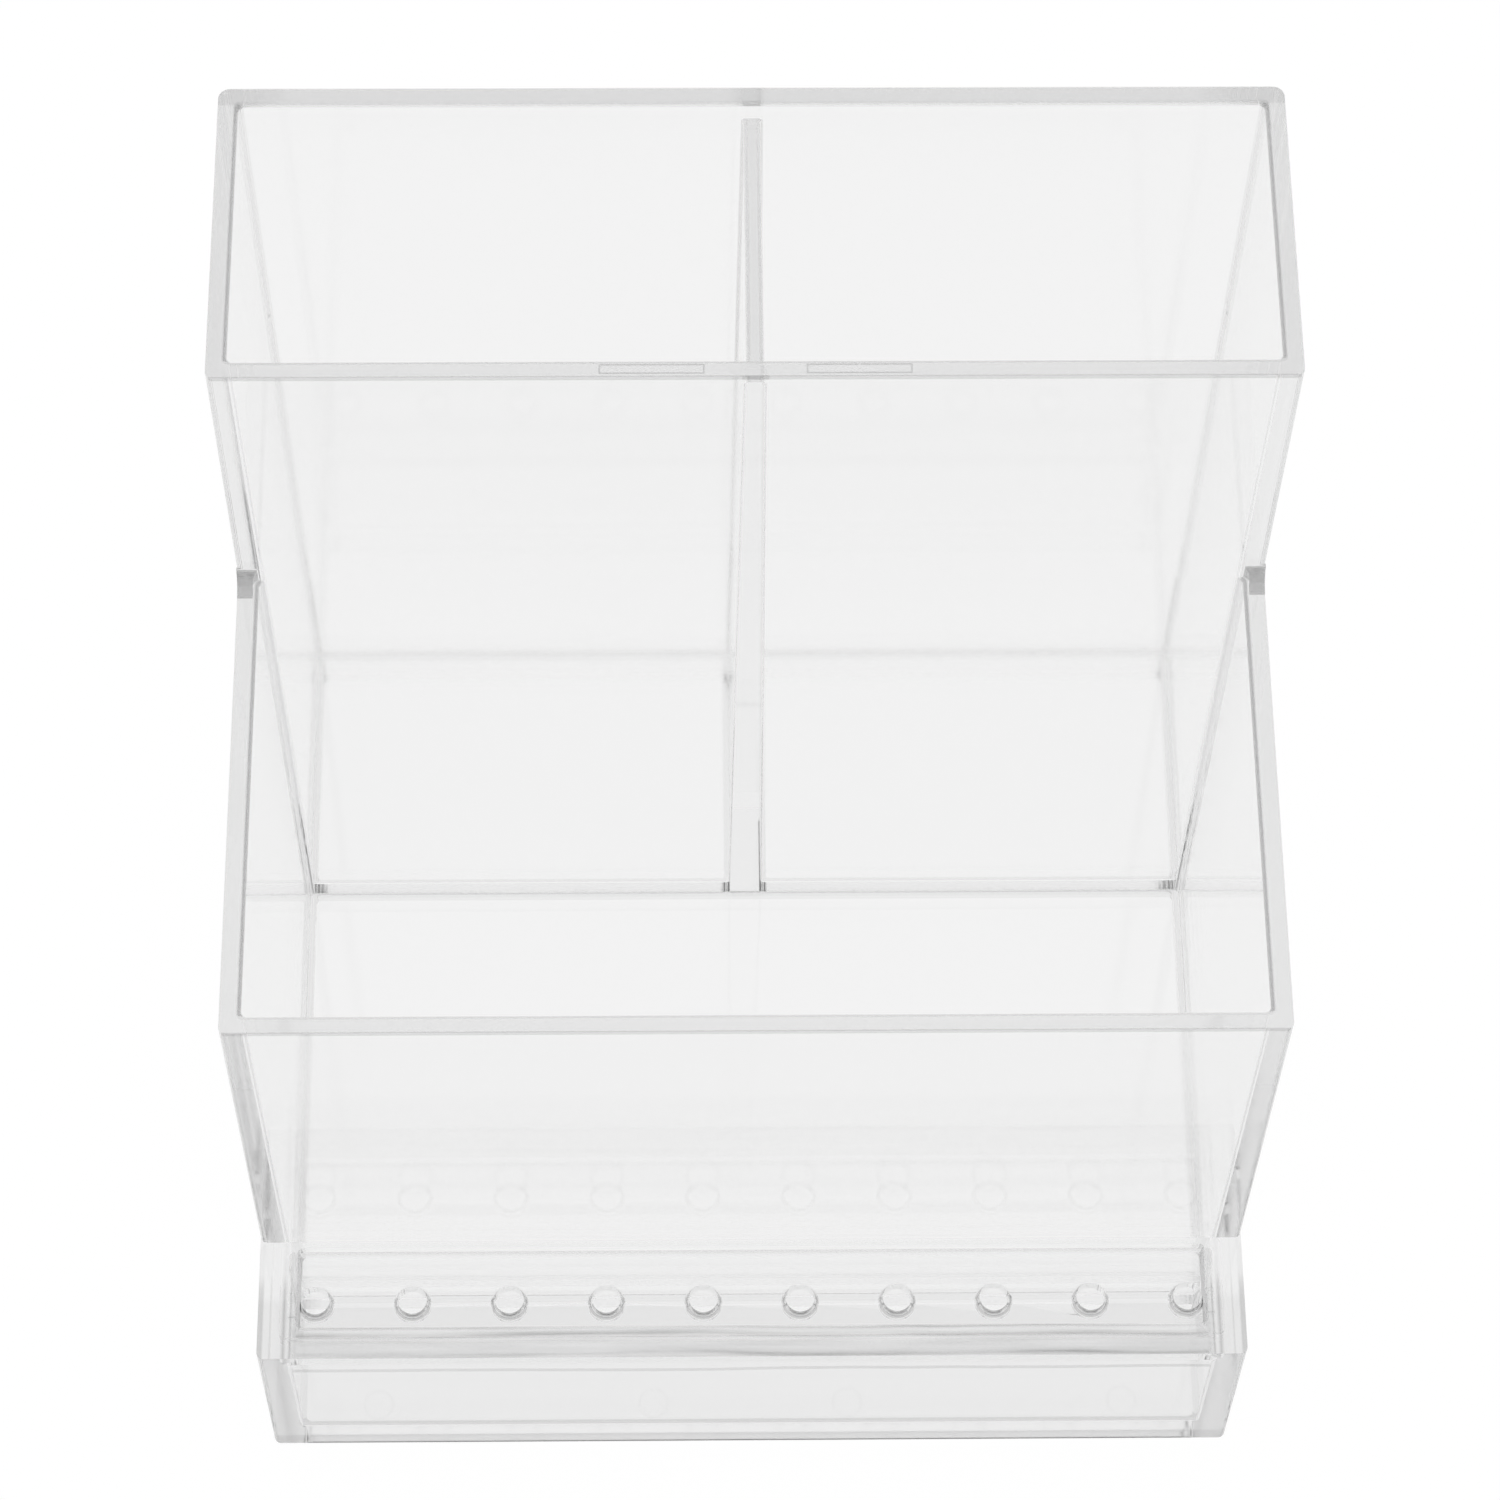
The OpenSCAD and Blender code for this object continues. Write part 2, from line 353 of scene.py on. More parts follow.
def stepped_block(at):
    """The outside: a low block, raised in two steps, drafted, with its edges rounded."""
    b = at.b
    bpy.ops.mesh.primitive_cube_add(size=1, location=(0, 0, b.rack_height / 2))
    bpy.context.object.scale = (b.width, 2 * at.back, b.rack_height)
    piece = added("body_visual")
    for low, high, y in ((b.rack_height, b.bin_height, at.bin), (b.bin_height, b.tall_height, at.tall)):
        pick(piece, "FACE", lambda f: near(f.calc_center_median().z, low))
        bpy.ops.mesh.bisect(plane_co=(0, y, 0), plane_no=(0, 1, 0))
        pick(piece, "FACE", lambda f: near(f.calc_center_median().z, low) and f.calc_center_median().y > y)
        bpy.ops.mesh.extrude_region_move(TRANSFORM_OT_translate={"value": (0, 0, high - low)})
    # The hollow curve between the bin's rim and the tall front comes first, while its ends are square
    pick(piece, "EDGE", lambda e: all(near(v.co.z, b.bin_height) and near(v.co.y, at.tall) for v in e.verts))
    bpy.ops.mesh.bevel(offset=b.step_radius, segments=16, affect="EDGES")
    # Draft: every height draws in by its own amount at the sides and the back, then the rack's front
    deselect()
    behind = {round(v.co.z, 7) for v in piece.data.vertices if near(v.co.y, at.back)}
    for z in sorted({round(v.co.z, 7) for v in piece.data.vertices}):
        share = at.half_width(z) / at.half_width(b.tall_height)
        pick(piece, "VERT", lambda v: near(v.co.z, z))
        bpy.ops.transform.resize(value=(share, 1, 1), center_override=(0, 0, z))
        if z in behind:
            pick(piece, "VERT", lambda v: near(v.co.z, z) and near(v.co.y, at.back))
            bpy.ops.transform.translate(value=(0, -at.outer_lean * (b.tall_height - z), 0))
    pick(piece, "VERT", lambda v: near(v.co.y, at.front) and near(v.co.z, 0))
    bpy.ops.transform.translate(value=(0, at.outer_lean * b.rack_height, 0))

    def upright(edge, y, least):
        low, high = (v.co for v in edge.verts)
        return (abs(low.z - high.z) > least and near(low.y, y, 0.5 * MM) and near(high.y, y, 0.5 * MM)
                and near(abs(low.x), b.width / 2, MM) and near(abs(high.x), b.width / 2, MM))

    pick(piece, "EDGE", lambda e: upright(e, at.back, b.foot))
    bpy.ops.mesh.bevel(offset=b.back_corner, segments=8, affect="EDGES")
    pick(piece, "EDGE", lambda e: any(upright(e, y, b.foot) for y in (at.front, at.bin, at.tall)))
    bpy.ops.mesh.bevel(offset=b.front_corner, segments=8, affect="EDGES")
    # A narrow strip below each rim, which carries the rim's lines of painted shade
    for rim in (b.tall_height, b.bin_height):
        pick(piece, "FACE", lambda f: True)
        bpy.ops.mesh.bisect(plane_co=(0, 0, rim - RIM_STRIP), plane_no=(0, 0, 1))
    deselect()
    return piece


def hollow(name, at, plan, bottom, mouth, lip, lip_sides, top, corner=None):
    """The space inside a compartment. The plan is that of its mouth before the lip is rounded."""
    b = at.b

    def lean(z):
        return -at.core_lean * (mouth - z)

    rings = []
    for a in quarter(8):
        z = bottom + b.floor_radius * (1 - math.cos(a))
        rings.append((grow(plan, lean(z) - b.floor_radius * (1 - math.sin(a))), z))
    if lip > 0:
        for a in quarter(8):
            z = mouth - lip * (1 - math.sin(a))
            rings.append((grow(grow(plan, lean(z)), lip * (1 - math.cos(a)), lip_sides), z))
    else:
        rings.append((plan, mouth))
    rings.append((grow(plan, lip, lip_sides), top))
    return stack(name, rings, corner or b.inner_corner)


def tall_cells(at):
    """Cutters for the two tall cells and for the clear space above the divider."""
    b = at.b
    half = at.half_clear(b.tall_height)
    mouth = (-half, half, at.tall + b.wall, at.back - b.wall)
    below = grow(mouth, -at.core_lean * b.divider_drop)
    near_half = at.half_divider(at.divider)
    cutters = []
    wide, tight = b.inner_corner, b.divider_corner
    for side, plan, lip_sides, corner in (
        ("left", (below[0], -near_half, below[2], below[3]), (0, 1, 0, 0), (wide, tight)),
        ("right", (near_half, below[1], below[2], below[3]), (1, 0, 0, 0), (tight, wide)),
    ):
        cutters.append(hollow(
            f"{side}_cell", at, plan, at.floor, at.divider, b.lip, lip_sides, at.divider + OVER, corner))
    rings = [(below, at.divider)]
    for a in quarter(8):
        z = b.tall_height - b.lip * (1 - math.sin(a))
        rings.append((grow(mouth, b.lip * (1 - math.cos(a)) - at.core_lean * (b.tall_height - z)), z))
    rings.append((grow(mouth, b.lip), b.tall_height + OVER))
    cutters.append(stack("above_divider", rings, b.inner_corner))
    return cutters


def body_cutters(at):
    b, p = at.b, at.p
    half = at.half_clear(b.bin_height)
    cutters = tall_cells(at)
    cutters.append(hollow(
        "bin", at, (-half, half, at.bin + b.wall, at.tall), at.floor, b.bin_height,
        b.lip, (1, 1, 1, 0), b.bin_height + b.step_radius + OVER))
    cutters.append(stack(
        "pocket", [(at.pocket, at.seat), (at.pocket, b.rack_height + OVER)], b.inner_corner))
    cutters.append(hollow(
        "trough", at, grow(at.pocket, -p.ledge, (1, 1, 1, 0)), b.rack_floor, at.seat,
        0, (0, 0, 0, 0), at.seat + OVER))
    half = at.half_width(0) - b.skirt
    plan = (-half, half, at.bin + b.skirt, at.back - b.skirt - at.outer_lean * b.tall_height)
    cutters.append(stack("under", [
        (grow(plan, at.core_lean * OVER), -OVER),
        (grow(plan, -at.core_lean * b.foot), b.foot),
    ], b.inner_corner))
    return cutters


def bonded_in_body(at, face, place):
    """The pocket's walls and ledge, where the plate is cemented in."""
    left, right, front, back = grow(at.pocket, 0.01 * MM)
    inside = all(left < v.x < right and front < v.y < back for v in place)
    wall = abs(face.normal.z) < 0.5 and all(at.seat - TOUCH < v.z < at.b.rack_height + TOUCH for v in place)
    ledge = all(near(v.z, at.seat) for v in place)
    return inside and (wall or ledge)


# Painted shade on each kind of rounding, as the share of light that it turns aside, set for the photographed
# view
SIDE_LIP, SIDE_LIP_TOP, STEP_HOLLOW, UPRIGHT, DIVIDER_UPRIGHT = 0.58, 0.2, 0.62, 0.13, 0.3
FLOOR_EDGE, TROUGH_FRONT, OTHER_EDGE = 0.14, 0.4, 0.1
HOLE_FRONT, HOLE_SIDE, HOLE_BACK, PLATE_END, PLATE_FRONT, PLATE_BACK = 0.58, 0.42, 0.06, 0.5, 0.3, 0.06


def painted_shade_in_body(at, face, place):
    """How much painted shade a rounding of the body takes, from 0 to 1, by the kind of edge, for the light
    that it turns aside.
    """
    b = at.b
    if not rounded(face):
        return 0.0
    middle = sum(place, Vector()) / len(place)
    x, y, z = abs(middle.x), middle.y, middle.z
    n = face.normal
    at_side = x > b.width / 2 - b.wall - b.lip and abs(n.x) > STEEP / 2
    for rim, front in ((b.tall_height, at.tall + b.wall), (b.bin_height, at.bin + b.wall)):
        if at_side and y > front and rim - b.lip - TOUCH < z < rim:
            return SIDE_LIP if abs(n.x) > 0.3 else SIDE_LIP_TOP
    if near(z, b.bin_height + b.step_radius / 2, b.step_radius / 2) and near(y, at.tall, b.step_radius):
        return STEP_HOLLOW
    if abs(n.z) < STEEP:
        return DIVIDER_UPRIGHT if x < 2 * b.divider else UPRIGHT
    if z < at.floor + b.floor_radius:
        faces_back = n.y > STEEP / 2
        if faces_back and y < at.bin:
            return TROUGH_FRONT
        return 0.0 if faces_back and y < at.bin + 2 * b.wall else FLOOR_EDGE
    return OTHER_EDGE


def lined_in_body(at, place):
    """The faces that lines of painted shade and marks are drawn on: the rims with the strips below them, and
    the rack.
    """
    b = at.b
    for rim in (b.tall_height, b.bin_height):
        if all(rim - RIM_STRIP - TOUCH < v.z < rim + TOUCH for v in place):
            return True
    return all(v.y < at.bin + TOUCH and v.z < b.rack_height + TOUCH for v in place)


class OBJECT_OT_organizer_body(Operator):
    """Models the one-piece body and puts it in place of the CAD body"""
    bl_idname = "object.organizer_body"
    bl_label = "Body"

    def execute(self, context):
        at = Levels(context.scene)
        piece = stepped_block(at)
        cut(piece, *body_cutters(at))
        smooth(piece)
        mark(piece, "bonded", lambda face, place: bonded_in_body(at, face, place))
        mark(piece, "painted_rounding_shade", lambda face, place: painted_shade_in_body(at, face, place))
        mark(piece, "lined", lambda face, place: lined_in_body(at, place))
        piece.data.materials.append(clear_plastic(context.scene.organizer_plastic, at))
        settle(piece, "body")
        return {"FINISHED"}


# The plate

def hole_cutter(at, x):
    """One hole of the row: narrow at the plate's face, then opened by a rounded shoulder to its lower end."""
    p = at.p
    deselect()
    y = at.front + p.setback
    last_r, last_z = p.hole / 2 + p.hole_lip, at.seat - OVER
    bpy.ops.mesh.primitive_circle_add(
        vertices=64, radius=last_r, fill_type="NGON", location=(x, y, last_z))
    piece = added("hole")
    shoulder = at.plate - p.hole_throat - p.hole_lip
    rings = [(last_r, shoulder)]
    rings += [(p.hole / 2 + p.hole_lip * (1 - math.cos(a)), shoulder + p.hole_lip * (1 - math.sin(a)))
              for a in reversed(quarter(8)[:-1])]
    rings.append((p.hole / 2, at.plate + OVER))
    for r, z in rings:
        pick(piece, "FACE", lambda f: near(f.calc_center_median().z, last_z) and abs(f.normal.z) > 0.9)
        bpy.ops.mesh.extrude_region_move(TRANSFORM_OT_translate={"value": (0, 0, z - last_z)})
        bpy.ops.transform.resize(value=(r / last_r, r / last_r, 1), center_override=(x, y, z))
        last_r, last_z = r, z
    pick(piece, "FACE", lambda f: True)
    bpy.ops.mesh.normals_make_consistent(inside=False)
    deselect()
    return piece


def bonded_in_plate(face, place, plan, ledge, at):
    """The plate's rim and the strip of its underside that lies on the ledge."""
    rim = grow(plan, -0.3 * at.b.inner_corner)
    outside = all(not (rim[0] < v.x < rim[1] and rim[2] < v.y < rim[3]) for v in place)
    strip = all(near(v.z, at.seat) for v in place) and any(
        v.x < ledge[0] - TOUCH or v.x > ledge[1] + TOUCH or v.y < ledge[2] - TOUCH for v in place)
    return strip or (outside and abs(face.normal.z) < 0.5)


def painted_shade_in_plate(at, face, place):
    """How much painted shade the plate's roundings and hole walls take, least along the back, for the light
    that they turn aside.
    """
    p = at.p
    middle = sum(place, Vector()) / len(place)
    n = face.normal
    in_row = abs(middle.y - at.front - p.setback) < p.hole / 2 + p.hole_lip
    if in_row and abs(n.z) < FLAT and middle.z < at.plate - TOUCH:
        return HOLE_FRONT if n.y > 0.5 else HOLE_SIDE if n.y > -0.4 else HOLE_BACK
    if not rounded(face):
        return 0.0
    if abs(n.x) > abs(n.y):
        return PLATE_END
    return PLATE_BACK if n.y < -0.2 and n.z > STEEP else PLATE_FRONT


class OBJECT_OT_organizer_rack_plate(Operator):
    """Models the perforated plate and puts it in place of the CAD plate"""
    bl_idname = "object.organizer_rack_plate"
    bl_label = "Rack plate"

    def execute(self, context):
        at = Levels(context.scene)
        b, p = at.b, at.p
        plan = grow(at.pocket, -p.bond_gap)
        piece = stack("rack_plate_visual", [(plan, at.seat), (plan, b.rack_height)], b.inner_corner)
        face = (plan[0] + p.end_edge, plan[1] - p.end_edge, plan[2] + p.edge, plan[3] - p.back_edge)
        rings = [(grow(face, -p.floor_radius * (1 - math.sin(a))),
                  at.plate + p.floor_radius * (1 - math.cos(a))) for a in quarter(8)]
        rings.append((face, b.rack_height + OVER))
        cut(piece, stack("face", rings, b.inner_corner))
        first = face[0] + p.hole_end
        pitch = -2 * first / (p.hole_count - 1)
        pattern = hole_cutter(at, first)
        for i in range(1, p.hole_count):
            copy = pattern.copy()
            copy.data = pattern.data.copy()
            context.collection.objects.link(copy)
            copy.location.x = i * pitch
            only(copy)
            bpy.ops.object.transform_apply(location=True, rotation=False, scale=False)
            cut(piece, copy)
        cut(piece, pattern)
        ledge = grow(at.pocket, -p.ledge, (1, 1, 1, 0))
        left, right, front = (ledge[0], 0, 0), (ledge[1], 0, 0), (0, ledge[2], 0)
        for place, across in ((left, (1, 0, 0)), (right, (1, 0, 0)), (front, (0, 1, 0))):
            pick(piece, "FACE", lambda f: all(near(v.co.z, at.seat) for v in f.verts))
            bpy.ops.mesh.bisect(plane_co=place, plane_no=across)
        smooth(piece)
        mark(piece, "bonded", lambda face, place: bonded_in_plate(face, place, plan, ledge, at))
        mark(piece, "painted_rounding_shade", lambda face, place: painted_shade_in_plate(at, face, place))
        mark(piece, "lined", lambda face, place: 1)
        piece.data.materials.append(clear_plastic(context.scene.organizer_plastic, at))
        settle(piece, "rack_plate")
        return {"FINISHED"}


def settle(piece, node):
    """Rides the finished piece on the organizer in place of its CAD node."""
    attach(piece, "root")
    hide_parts(node)


# Materials

def node(tree, kind, settings=None, **links):
    """Adds a shader node with its settings, and links its named inputs to other nodes' outputs."""
    made = tree.nodes.new(kind)
    for name, value in (settings or {}).items():
        if isinstance(name, int) or name in made.inputs:
            made.inputs[name].default_value = value
        else:
            setattr(made, name, value)
    for name, source in links.items():
        tree.links.new(source, made.inputs[name.replace("_", " ")])
    return made


def sums(tree, operation, first, second=0.0, third=0.0):
    """A Math node's output, from numbers or other nodes' outputs."""
    made = node(tree, "ShaderNodeMath", {"operation": operation})
    for i, value in enumerate((first, second, third)):
        if isinstance(value, (int, float)):
            made.inputs[i].default_value = value
        else:
            tree.links.new(value, made.inputs[i])
    return made.outputs[0]


def within(tree, value, middle, reach):
    """1 where a value lies within reach of the middle, else 0."""
    return sums(tree, "COMPARE", value, middle, reach)


def times(tree, first, second):
    """The product of two numbers or other nodes' outputs."""
    return sums(tree, "MULTIPLY", first, second)


def less(tree, first, second):
    """1 where the first is less than the second, else 0."""
    return sums(tree, "LESS_THAN", first, second)


def joint(tree, at, x, y, z, wave):
    """Where the bond is left open: along the top of the joint, and down the front half of each end."""
    gap, end_depth, past_middle = 0.3 * MM, 3 * MM, 1.8 * MM
    swing, shallow = 1.6 * MM, -0.3 * MM
    front = within(tree, y, at.pocket[2], gap)
    end = within(tree, sums(tree, "ABSOLUTE", x), at.pocket[1], gap)
    depth = sums(tree, "SUBTRACT", at.b.rack_height, z)
    open_top = less(tree, depth, sums(tree, "MULTIPLY_ADD", wave, swing, shallow))
    rear = (at.front + at.bin) / 2 + past_middle
    open_end = times(tree, less(tree, y, rear), less(tree, depth, end_depth))
    return sums(tree, "MAXIMUM", times(tree, front, open_top), times(tree, end, open_end))


def ramp(tree, value, stops):
    """Blends evenly between (place, amount) pairs, the places given from 0 to 1."""
    made = node(tree, "ShaderNodeValToRGB", None, Fac=value)
    ends = made.color_ramp.elements
    for i, (spot, amount) in enumerate(stops):
        stop = ends[0] if i == 0 else ends[-1] if i == len(stops) - 1 else ends.new(spot)
        stop.position, stop.color = spot, (amount, amount, amount, 1)
    return made.outputs["Color"]


# Share of light that the rack's top loses at each place from its outer edge inward, in millimetres: the
# rounded edge and the rim's inner edge, which are painted shade, and between them the cement line where the
# plate's rim meets the wall. Each amount was worked out from the photographed tone at that place, then about
# doubled for the tint's root
TOP_SPAN = 5.0
FRONT_LOSS = (
    (0.0, 0.3), (0.35, 0.62), (0.65, 0.36), (1.1, 0.25), (1.6, 0.33), (2.1, 0.28), (2.4, 0.6),
    (2.7, 0.4), (2.9, 0.2), (3.1, 0.3), (3.25, 0.5), (3.4, 0.35), (3.6, 0.0))
END_LOSS = (
    (0.0, 0.4), (0.45, 0.42), (0.65, 0.0), (1.15, 0.0), (1.3, 0.3), (1.45, 0.0), (2.35, 0.04), (2.7, 0.55),
    (3.0, 0.06), (3.2, 0.1), (3.35, 0.6), (3.55, 0.2), (3.9, 0.35), (4.1, 0.3), (4.3, 0.0))


def rack_top(tree, at, x, y, z, wave, streak):
    """Share of light lost on the rack's top, painted shade at its rounded and inner edges with the cement
    line between: streaked by the cement along the front, two lines at each end.
    """
    span = TOP_SPAN * MM
    front_sway, end_sway = 1.3 * MM, 0.12 * MM
    front_reach, end_reach = 3.5 / TOP_SPAN, 4.0 / TOP_SPAN
    contrast, least = 2.2, -0.25
    fade_from, fade_to, faded = 7 * MM, 9.5 * MM, 0.2
    top = within(tree, z, at.b.rack_height, 0.1 * MM)
    bend = sums(tree, "MULTIPLY_ADD", wave, front_sway, -front_sway / 2 - at.front)
    in_front = sums(tree, "DIVIDE", sums(tree, "ADD", y, bend), span)
    bow = sums(tree, "MULTIPLY_ADD", wave, end_sway, at.half_width(at.b.rack_height) - end_sway / 2)
    in_end = sums(tree, "DIVIDE", sums(tree, "SUBTRACT", bow, sums(tree, "ABSOLUTE", x)), span)
    front = ramp(tree, in_front, [(mm / TOP_SPAN, loss) for mm, loss in FRONT_LOSS])
    end = ramp(tree, in_end, [(mm / TOP_SPAN, loss) for mm, loss in END_LOSS])
    front = times(tree, front, sums(tree, "MULTIPLY_ADD", streak, contrast, least))
    # The joint's two lines fade out half way to the bin, where the cement has run in
    fade = node(tree, "ShaderNodeMapRange", {
        "interpolation_type": "SMOOTHSTEP", "From Min": at.front + fade_from, "From Max": at.front + fade_to,
        "To Min": 1.0, "To Max": faded}, Value=y)
    at_front = times(tree, less(tree, in_front, front_reach), sums(tree, "GREATER_THAN", in_end, end_reach))
    along_front = times(tree, front, at_front)
    along_end = times(tree, times(tree, end, fade.outputs[0]), sums(tree, "SUBTRACT", 1.0, at_front))
    return times(tree, sums(tree, "ADD", along_front, along_end), top)


# Outlines that two ejector blades left on the tall front rim: their middle, to the side and behind the
# rim's front edge, and their half length and half width
BLADE_ASIDE, BLADE_BEHIND, BLADE_LONG, BLADE_WIDE = 9.65 * MM, 0.87 * MM, 4.84 * MM, 0.46 * MM
# Rings that the ejector pins left on the rack's floor: their places to each side and behind the front
PINS_ASIDE, PINS_BEHIND, PIN_RADIUS = (10.3 * MM, 39.5 * MM), 5.3 * MM, 1.5 * MM
# Cement spread on the plate in front of the holes, behind the front, and its half width
CEMENT_BEHIND, CEMENT_WIDE = 4.8 * MM, 1.4 * MM
# The lower end of the bond, below the plate's seat, its waviness and its half height
BOND_BELOW, BOND_SWING, BOND_HALF = 2.3 * MM, 1.2 * MM, 0.4 * MM
# Share of light that each line takes off the base colour: painted shade along the rim edges, behind the
# divider, on the back of the tall rim and at the foot; the blade outlines, the bond's end, the cement strip
# and the pin rings are marks on the plastic
RIM_LINE, DIVIDER_BEHIND, BLADE_LINE, BACK_RIM = 0.37, 0.2, 0.45, 0.24
BOND_END, FOOT, CEMENT_STRIP, PIN_RING = 0.4, 0.3, 0.12, 0.06


def edge_lines(tree, at, x, y, z, wave):
    """Share of light taken off: painted shade along sharp rim edges, behind the divider, on the tall rim's
    back and at the foot, with moulding marks and the joint's lower end.
    """
    b = at.b
    fine, hair = 0.13 * MM, 0.08 * MM
    lost = 0.0
    # Painted shade: a dark line along the front edge of each rim
    for edge, rim in ((at.bin, b.bin_height), (at.tall, b.tall_height)):
        line = times(tree, within(tree, y, edge, fine), within(tree, z, rim - 0.2 * MM, 0.33 * MM))
        lost = sums(tree, "MULTIPLY_ADD", line, RIM_LINE, lost)
    # Painted shade where the divider shows through the tall rim's edge, spread to each side
    spread = 1.25 * MM
    behind = times(tree, within(tree, x, 0.0, spread), line)
    lost = sums(tree, "MULTIPLY_ADD", behind, DIVIDER_BEHIND, lost)
    aside = sums(tree, "ABSOLUTE", x)
    across = sums(tree, "ABSOLUTE", sums(tree, "SUBTRACT", aside, BLADE_ASIDE))
    along = sums(tree, "ABSOLUTE", sums(tree, "SUBTRACT", y, at.tall + BLADE_BEHIND))
    blade = sums(tree, "MAXIMUM", sums(tree, "SUBTRACT", across, BLADE_LONG - BLADE_WIDE), along)
    on_tall_rim = within(tree, z, b.tall_height, fine)
    outline = times(tree, within(tree, blade, BLADE_WIDE, hair), on_tall_rim)
    lost = sums(tree, "MULTIPLY_ADD", outline, BLADE_LINE, lost)
    # Painted shade on the tall rim's top along the back wall
    back_rim = times(tree, within(tree, y, at.back, b.wall), on_tall_rim)
    lost = sums(tree, "MULTIPLY_ADD", back_rim, BACK_RIM, lost)
    low = sums(tree, "MULTIPLY_ADD", wave, BOND_SWING, at.seat - BOND_BELOW)
    smear = times(tree, within(tree, z, low, BOND_HALF), within(tree, y, at.pocket[2], at.p.ledge + fine))
    lost = sums(tree, "MULTIPLY_ADD", smear, BOND_END, lost)
    # Painted shade along the front foot, where it stands on the table
    foot = times(tree, within(tree, y, at.front, 0.2 * MM), less(tree, z, b.rack_floor))
    lost = sums(tree, "MULTIPLY_ADD", foot, FOOT, lost)
    strip = within(tree, y, at.front + CEMENT_BEHIND, CEMENT_WIDE)
    cement = times(tree, strip, within(tree, z, at.plate, fine))
    lost = sums(tree, "MULTIPLY_ADD", cement, CEMENT_STRIP, lost)
    from_pins = [sums(tree, "ABSOLUTE", sums(tree, "SUBTRACT", aside, pin)) for pin in PINS_ASIDE]
    flat = node(tree, "ShaderNodeCombineXYZ", None,
                X=sums(tree, "MINIMUM", *from_pins), Y=sums(tree, "SUBTRACT", y, at.front + PINS_BEHIND))
    away = node(tree, "ShaderNodeVectorMath", {"operation": "LENGTH"}, Vector=flat.outputs[0])
    ring = within(tree, away.outputs["Value"], PIN_RADIUS, 2 * hair)
    return sums(tree, "MULTIPLY_ADD", times(tree, ring, within(tree, z, b.rack_floor, fine)), PIN_RING, lost)


def clear_plastic(look, at):
    """Injection-moulded clear acrylic: water-white, glossy from the polished mould."""
    name = "clear moulded acrylic"
    if name in bpy.data.materials:
        return bpy.data.materials[name]
    material = bpy.data.materials.new(name)
    material.use_nodes = True
    material.cycles.emission_sampling = "NONE"
    tree = material.node_tree
    tree.nodes.clear()
    place = node(tree, "ShaderNodeTexCoord")
    axes = node(tree, "ShaderNodeSeparateXYZ", None, Vector=place.outputs["Object"])
    x, y, z = (axes.outputs[name] for name in "XYZ")
    waves = node(tree, "ShaderNodeTexNoise", {
        "noise_dimensions": "1D", "Scale": 1 / (28 * MM), "Detail": 2.0, "Roughness": 0.45}, W=x)
    wave = waves.outputs["Fac"]
    # The cement has the plastic's own index, so a bonded face doesn't show
    bonded = node(tree, "ShaderNodeAttribute", {"attribute_name": "bonded"})
    closed = sums(tree, "SUBTRACT", 1.0, joint(tree, at, x, y, z, wave))
    held = times(tree, bonded.outputs["Fac"], closed)
    # A liberty, painted shade on the roundings: a rounding bends light out to the dim sides, more than this
    # softbox alone would show
    rounding_shade = node(tree, "ShaderNodeAttribute", {"attribute_name": "painted_rounding_shade"})
    grain = node(tree, "ShaderNodeVectorMath", {"operation": "MULTIPLY", 1: (0.05 / MM, 1.1 / MM, 1 / MM)})
    tree.links.new(place.outputs["Object"], grain.inputs[0])
    streaks = node(tree, "ShaderNodeTexNoise", {
        "Scale": 1.0, "Detail": 3.0, "Roughness": 0.6}, Vector=grain.outputs[0])
    # The base colour is darkened by the painted shade of the roundings, the edge lines and the rack's top,
    # and by the marks on the plastic
    lost = sums(tree, "ADD", rounding_shade.outputs["Fac"], edge_lines(tree, at, x, y, z, wave))
    lost = sums(tree, "ADD", lost, rack_top(tree, at, x, y, z, wave, streaks.outputs["Fac"]))
    polished = {"Roughness": look.roughness, "IOR": look.ior, "Transmission Weight": 1.0}
    drawn = node(tree, "ShaderNodeBsdfPrincipled", polished,
                 Alpha=sums(tree, "SUBTRACT", 1.0, held), Base_Color=sums(tree, "SUBTRACT", 1.0, lost))
    # Faces that carry no line have a plain shader with only the roundings' painted shade, which takes a
    # little less time
    plain = node(tree, "ShaderNodeBsdfPrincipled", polished,
                 Base_Color=sums(tree, "SUBTRACT", 1.0, rounding_shade.outputs["Fac"]))
    lined = node(tree, "ShaderNodeAttribute", {"attribute_name": "lined"})
    surface = node(tree, "ShaderNodeMixShader", None, Fac=lined.outputs["Fac"])
    tree.links.new(plain.outputs[0], surface.inputs[1])
    tree.links.new(drawn.outputs[0], surface.inputs[2])
    # A liberty, a painted glow: light that has run this long inside the walls comes out as an even glow,
    # where it would streak
    path = node(tree, "ShaderNodeLightPath")
    long = sums(tree, "GREATER_THAN", path.outputs["Ray Depth"], float(look.even_after))
    even = node(tree, "ShaderNodeEmission", {"Strength": look.even_glow})
    shown = node(tree, "ShaderNodeMixShader", None, Fac=long)
    tree.links.new(surface.outputs[0], shown.inputs[1])
    tree.links.new(even.outputs[0], shown.inputs[2])
    inside = node(tree, "ShaderNodeVolumeAbsorption", {
        "Color": (*look.depth_tint, 1), "Density": look.depth_density})
    node(tree, "ShaderNodeOutputMaterial", Surface=shown.outputs[0], Volume=inside.outputs[0])
    return material


# The stage

